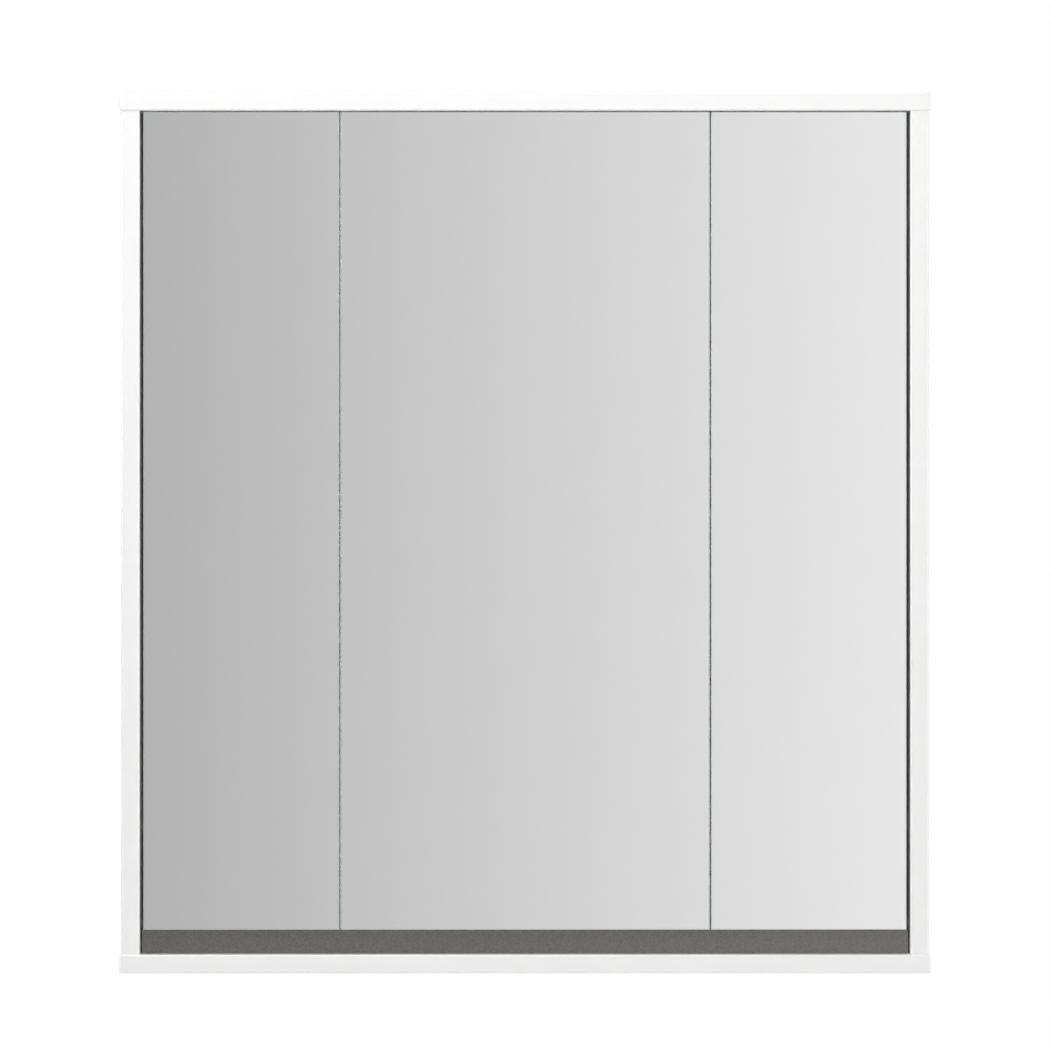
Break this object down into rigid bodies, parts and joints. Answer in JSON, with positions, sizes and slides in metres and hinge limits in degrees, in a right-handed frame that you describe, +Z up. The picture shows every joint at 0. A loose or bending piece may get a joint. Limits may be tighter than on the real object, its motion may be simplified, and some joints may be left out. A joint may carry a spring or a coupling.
{
  "type": "mirror cabinet",
  "caption": "Wall-hung bathroom cabinet with inset mirror doors on concealed cup hinges, glass shelves inside and a dark recessed grip strip under the doors.",
  "frame": {"origin": "centre of the four wall-screw holes, on the wall plane", "axes": "+X to the viewer's right, +Y from the mirror doors into the wall, +Z up"},
  "size_m": [0.7, 0.16, 0.76],
  "materials": {
    "white_board": "white melamine on chipboard, satin",
    "white_edging": "white edge band, satin",
    "grey_board": "anthracite grey melamine, fine grained",
    "hardboard": "thin hardboard, white inside",
    "mirror_glass": "silvered glass, ground edges",
    "shelf_glass": "clear float glass, ground front edges",
    "hinge_steel": "nickel-plated pressed steel",
    "screw_steel": "zinc-plated steel",
    "cast_zinc": "raw cast zinc",
    "wall_steel": "zinc-plated steel sheet",
    "white_plastic": "white moulded plastic",
    "clear_rubber": "clear soft plastic",
    "beech": "fluted beech"
  },
  "bodies": {
    "carcass": {"top_panel": "white_board", "bottom_panel": "white_board", "left_side_panel": "white_board", "right_side_panel": "white_board", "left_divider": "white_board", "right_divider": "white_board", "top_panel_edging": "white_edging", "bottom_panel_edging": "white_edging", "left_side_edging": "white_edging", "right_side_edging": "white_edging", "left_divider_edging": "white_edging", "right_divider_edging": "white_edging", "grip_strip": "grey_board", "back_panel": "hardboard", "left_lower_shelf": "shelf_glass", "left_upper_shelf": "shelf_glass", "centre_lower_shelf": "shelf_glass", "centre_upper_shelf": "shelf_glass", "right_lower_shelf": "shelf_glass", "right_upper_shelf": "shelf_glass", "left_hinge_arms": "hinge_steel", "left_hinge_plates": "hinge_steel", "centre_hinge_arms": "hinge_steel", "centre_hinge_plates": "hinge_steel", "right_hinge_arms": "hinge_steel", "right_hinge_plates": "hinge_steel", "left_hinge_screws": "screw_steel", "centre_hinge_screws": "screw_steel", "right_hinge_screws": "screw_steel", "cam_bolts": "screw_steel", "hanger_screws": "screw_steel", "shelf_pins": "screw_steel", "cam_locks": "cast_zinc", "hanger_hooks": "wall_steel", "wall_plates": "wall_steel", "cam_caps": "white_plastic", "hanger_bodies": "white_plastic", "wooden_dowels": "beech"},
    "left_door": {"left_mirror": "mirror_glass", "left_door_panel": "white_board", "left_door_edging": "white_edging", "left_door_bumpers": "clear_rubber", "left_hinge_cups": "hinge_steel", "left_hinge_pins": "screw_steel", "left_cup_screws": "screw_steel"},
    "centre_door": {"centre_mirror": "mirror_glass", "centre_door_panel": "white_board", "centre_door_edging": "white_edging", "centre_door_bumpers": "clear_rubber", "centre_hinge_cups": "hinge_steel", "centre_hinge_pins": "screw_steel", "centre_cup_screws": "screw_steel"},
    "right_door": {"right_mirror": "mirror_glass", "right_door_panel": "white_board", "right_door_edging": "white_edging", "right_door_bumpers": "clear_rubber", "right_hinge_cups": "hinge_steel", "right_hinge_pins": "screw_steel", "right_cup_screws": "screw_steel"}
  },
  "joints": [
    {"name": "left_door_hinge", "type": "hinge", "parent": "carcass", "child": "left_door", "pos_m": [-0.3055, -0.146, 0], "axis": [0, 0, -1], "range_deg": [0, 95]},
    {"name": "centre_door_hinge", "type": "hinge", "parent": "carcass", "child": "centre_door", "pos_m": [-0.1349, -0.146, 0], "axis": [0, 0, -1], "range_deg": [0, 95]},
    {"name": "right_door_hinge", "type": "hinge", "parent": "carcass", "child": "right_door", "pos_m": [0.3055, -0.146, 0], "axis": [0, 0, 1], "range_deg": [0, 95]}
  ]
}
